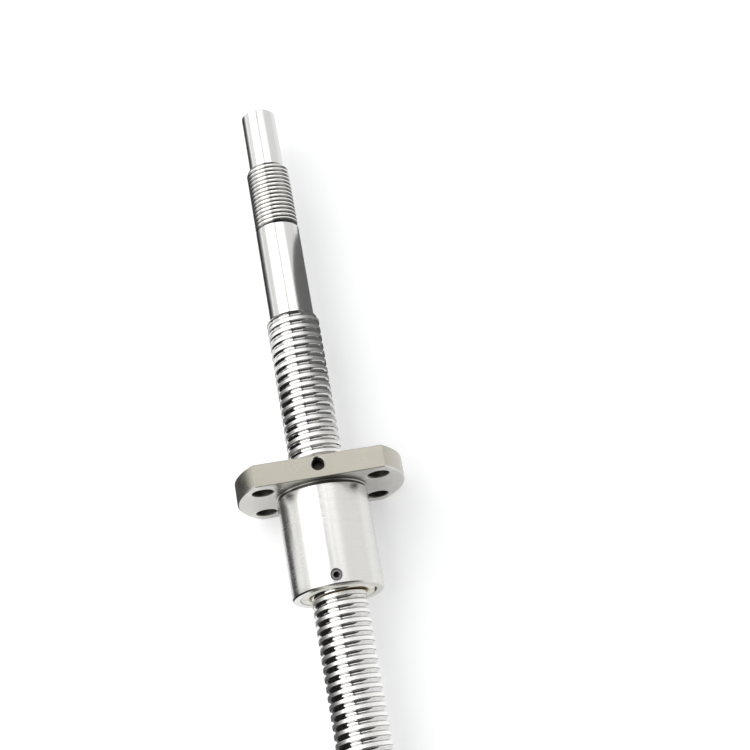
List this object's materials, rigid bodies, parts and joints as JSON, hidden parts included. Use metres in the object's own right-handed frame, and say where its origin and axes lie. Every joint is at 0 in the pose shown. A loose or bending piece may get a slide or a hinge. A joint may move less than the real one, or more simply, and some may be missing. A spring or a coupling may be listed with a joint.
{
  "type": "ball screw",
  "caption": "Ball screw shaft with a stepped drive end and a flanged ball nut with two flats, bolt holes, return inserts and wipers.",
  "frame": {"origin": "under the middle of the length, on the plane of the lower flange flat that the part lies on", "axes": "+X along the screw axis to the drive end, +Z out of the upper flange flat with the oil hole"},
  "size_m": [0.18, 0.037, 0.024],
  "materials": {
    "bearing_steel": "polished ground bearing steel",
    "ground_steel": "satin turned and ground steel",
    "ball_steel": "polished chrome steel",
    "insert_steel": "dull sintered steel",
    "black_oxide_steel": "black oxide",
    "ivory_plastic": "moulded acetal, ivory"
  },
  "bodies": {
    "screw": {"screw_shaft": "bearing_steel"},
    "nut_carriage": {"flange_wiper": "ivory_plastic"},
    "nut": {"nut_body": "ground_steel", "end_wiper": "ivory_plastic", "wiper_set_screw": "black_oxide_steel", "return_insert_1": "insert_steel", "return_insert_2": "insert_steel", "return_insert_3": "insert_steel", "return_insert_4": "insert_steel", "loaded_ball_row_1": "ball_steel", "loaded_ball_row_2": "ball_steel", "loaded_ball_row_3": "ball_steel", "loaded_ball_row_4": "ball_steel", "return_ball_1_1": "ball_steel", "return_ball_1_2": "ball_steel", "return_ball_1_3": "ball_steel", "return_ball_2_1": "ball_steel", "return_ball_2_2": "ball_steel", "return_ball_2_3": "ball_steel", "return_ball_3_1": "ball_steel", "return_ball_3_2": "ball_steel", "return_ball_3_3": "ball_steel", "return_ball_4_1": "ball_steel", "return_ball_4_2": "ball_steel", "return_ball_4_3": "ball_steel"}
  },
  "joints": [
    {"name": "nut_travel", "type": "slide", "parent": "screw", "child": "nut_carriage", "axis": [1, 0, 0], "range_m": [-0.05, 0.036]},
    {"name": "nut_turn", "type": "hinge", "parent": "nut_carriage", "child": "nut", "pos_m": [-0.015, 0, 0.012], "axis": [1, 0, 0], "range_deg": [-9000, 6480]}
  ],
  "couplings": [
    {"joint": "nut_turn", "follows": "nut_travel", "rad_per_m": 3141.6}
  ]
}
